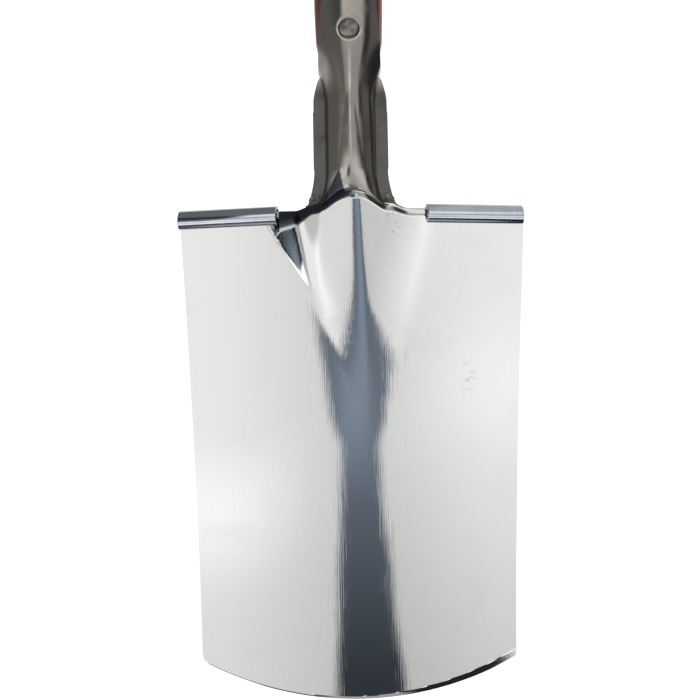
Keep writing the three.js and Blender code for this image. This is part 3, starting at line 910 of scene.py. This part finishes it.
# where the tent's tones change, as the height of a direction or as its turn to the side
zone = {
    "lit": (0.08, 0.14), "top": (0.66, 0.80), "deep": (-0.56, -0.64), "under": (-0.90, -0.96),
    "low": (-0.02, -0.22), "table": (-0.37, -0.45), "leftDim": (0.02, 0.08), "halves": (-0.15, 0.15),
    "middle": (0.04, 0.5), "band": (0.05, 0.0), "bandAside": (0.05, 0.4), "sides": (0.45, 0.55),
    "haze": (-0.50, -0.36), "foot": (0.36, 0.46), "shadeAside": (-0.28, -0.44), "shade": (0.36, 0.44),
    "coreAside": (0.16, 0.02), "core": (0.36, 0.22), "cutAside": (0.70, 0.80), "cut": (0.52, 0.44),
    "rim": (0.90, 0.97), "topHalves": (-0.05, 0.15),
}


def makeWorld():
    # a pale tent in front, dimmer at both sides and above, and plain white to the camera itself
    world = bpy.data.worlds.new("tent")
    world.use_nodes = True
    bpy.context.scene.world = world
    tree = world.node_tree
    background = tree.nodes["Background"]
    parts = tree.nodes.new("ShaderNodeSeparateXYZ")
    tree.links.new(tree.nodes.new("ShaderNodeTexCoord").outputs["Generated"], parts.inputs[0])
    x, y, z = parts.outputs

    def between(share, low, high):
        lowPart = calc(tree, "MULTIPLY", low, calc(tree, "SUBTRACT", 1.0, share))
        return calc(tree, "ADD", lowPart, calc(tree, "MULTIPLY", high, share))

    def both(first, second):
        return calc(tree, "MULTIPLY", first, second)

    flat = calc(tree, "SQRT", calc(tree, "ADD", both(x, x), both(y, y)))
    turn = calc(tree, "DIVIDE", x, calc(tree, "MAXIMUM", flat, 0.001))
    aside = calc(tree, "ABSOLUTE", turn)
    right = ranged(tree, x, *zone["halves"])
    # level with the object: brighter towards the sides, with a bright band, then the sides' dark
    leftSide = ranged(tree, z, *zone["leftDim"], studio["sideLeft"], studio["hazeLeft"])
    sides = between(right, leftSide, studio["sideRight"])
    middle = ranged(tree, aside, *zone["middle"], studio["middle"], studio["edge"])
    drop = both(between(right, studio["lowLeft"], studio["lowRight"]), ranged(tree, z, *zone["low"]))
    below = calc(tree, "SUBTRACT", 1.0, drop)
    bandHeight = calc(tree, "ADD", z, ranged(tree, turn, -0.4, 0.4, 0.09, 0.02))
    band = ranged(tree, calc(tree, "ABSOLUTE", bandHeight), *zone["band"])
    band = both(band, between(right, studio["bandLeft"], studio["bandRight"]))
    band = both(band, ranged(tree, aside, *zone["bandAside"]))
    table = ranged(tree, z, *zone["table"], 0.0, studio["table"])
    front = calc(tree, "ADD", both(middle, below), calc(tree, "ADD", band, table))
    wide = ranged(tree, y, 0.0, 0.2, 0.38, 0.0)
    low = between(ranged(tree, calc(tree, "SUBTRACT", aside, wide), *zone["sides"]), front, sides)
    # above it: lit straight ahead, dim on the left, dark at the foot of that and cut off on the right
    lit = ranged(tree, turn, *zone["haze"], studio["hazeLeft"], studio["hazeRight"])
    lit = calc(tree, "ADD", lit, both(ranged(tree, z, *zone["foot"]), studio["foot"]))
    shade = both(ranged(tree, turn, *zone["shadeAside"]), ranged(tree, z, *zone["shade"]))
    lit = between(shade, lit, studio["footDark"])
    core = both(ranged(tree, aside, *zone["coreAside"], 0.0, studio["core"]), ranged(tree, z, *zone["core"]))
    cut = both(ranged(tree, turn, *zone["cutAside"]), ranged(tree, z, *zone["cut"]))
    lit = between(cut, calc(tree, "ADD", lit, core), studio["sideRight"])
    lit = between(ranged(tree, aside, *zone["rim"]), lit, studio["hazeLeft"])
    top = between(ranged(tree, x, *zone["topHalves"]), studio["topLeft"], studio["topRight"])
    deep = between(right, studio["deepLeft"], studio["deepRight"])
    level = between(ranged(tree, z, *zone["lit"]), low, lit)
    level = between(ranged(tree, z, *zone["top"]), level, top)
    level = between(ranged(tree, z, *zone["deep"]), level, deep)
    level = between(ranged(tree, z, *zone["under"]), level, studio["under"])
    seen = tree.nodes.new("ShaderNodeLightPath").outputs["Is Camera Ray"]
    background.inputs["Color"].default_value = (1, 1, 1, 1)
    tree.links.new(between(seen, level, studio["white"]), background.inputs["Strength"])


def makeFloor():
    deselectAll()
    bpy.ops.mesh.primitive_circle_add(vertices=96, radius=6, fill_type="NGON", location=(0, 0, -0.0004))
    floor = bpy.context.object
    floor.name = "floor"
    material = bpy.data.materials.new("paleFloor")
    material.use_nodes = True
    shader = material.node_tree.nodes["Principled BSDF"]
    shader.inputs["Base Color"].default_value = (0.9, 0.9, 0.9, 1)
    shader.inputs["Roughness"].default_value = 0.9
    shader.inputs["Emission Color"].default_value = (1, 1, 1, 1)
    shader.inputs["Emission Strength"].default_value = studio["floorGlow"]
    floor.data.materials.append(material)
    floor.visible_glossy = False


flag = [
    # height, left edge, right edge
    (-0.06, -0.026, 0.050), (-0.023, -0.022, 0.044), (0.044, -0.0186, 0.0334), (0.112, -0.0143, 0.0235),
    (0.132, -0.0135, 0.0220), (0.157, -0.0235, 0.0290), (0.170, -0.0262, 0.0360), (0.184, -0.0290, 0.0445),
    (0.194, -0.0315, 0.0485), (0.204, -0.0340, 0.0370), (0.222, -0.0380, 0.0310), (0.245, -0.030, 0.030),
]


def makeFlag(name, outline):
    # dark cloth close in front of the blade, seen only in its reflection
    deselectAll()
    bpy.ops.mesh.primitive_grid_add(x_subdivisions=2, y_subdivisions=80, size=2)
    piece = bpy.context.object
    piece.name = name
    for vertex in piece.data.vertices:
        height = mix(outline[0][0], outline[-1][0], (vertex.co.y + 1) / 2)
        index = max(i for i in range(len(outline) - 1) if outline[i][0] <= height + 1e-9)
        share = ease(height, outline[index][0], outline[index + 1][0])
        left = mix(outline[index][1], outline[index + 1][1], share)
        right = mix(outline[index][2], outline[index + 1][2], share)
        x = mix(left, right, (vertex.co.x + 1) / 2)
        vertex.co = Vector((x, bladeOrigin.y - studio["stripDistance"], height))
    piece.data.materials.append(flagCloth)
    piece.visible_camera = False
    piece.visible_diffuse = False
    piece.visible_shadow = False


cloth = {
    "edges": (0.024, 0.006), "gain": 0.9, "gainHeight": (0.09, 0.16), "height": (-0.03, 0.165),
    "levels": (0.33, 1.5), "shoulderHeight": (0.262, 0.272), "shoulder": (-0.0275, -0.0195),
    "shoulderDark": 0.88,
}


def makeFlagCloth():
    # slate at the top, lightest in the middle, and near black at the foot and on the shoulder's left
    material = bpy.data.materials.new("flagCloth")
    material.use_nodes = True
    tree = material.node_tree
    tree.nodes.remove(tree.nodes["Principled BSDF"])
    parts = tree.nodes.new("ShaderNodeSeparateXYZ")
    tree.links.new(tree.nodes.new("ShaderNodeTexCoord").outputs["Object"], parts.inputs[0])
    x, z = parts.outputs[0], parts.outputs[2]
    inward = ranged(tree, calc(tree, "ABSOLUTE", x), *cloth["edges"], 0.0, cloth["gain"])
    inward = calc(tree, "MULTIPLY", inward, ranged(tree, z, *cloth["gainHeight"]))
    fade = ranged(tree, z, *cloth["height"], *cloth["levels"])
    high = ranged(tree, z, *cloth["shoulderHeight"])
    darker = calc(tree, "MULTIPLY", high, ranged(tree, x, *cloth["shoulder"], cloth["shoulderDark"], 0.0))
    dark = calc(tree, "SUBTRACT", 1.0, darker)
    glow = nodeIn(tree, "ShaderNodeEmission", Color=(*studio["stripColour"], 1))
    strength = calc(tree, "MULTIPLY", calc(tree, "ADD", fade, inward), dark)
    tree.links.new(strength, glow.inputs["Strength"])
    tree.links.new(glow.outputs[0], tree.nodes["Material Output"].inputs["Surface"])
    return material


shoulderFlag = [(0.2705, -0.046, -0.012), (0.299, -0.046, -0.012)]
makeWorld()
makeFloor()
flagCloth = makeFlagCloth()
makeFlag("stripFlag", flag)
makeFlag("shoulderFlag", shoulderFlag)
bpy.context.scene.view_settings.view_transform = "Standard"
print("studio made")
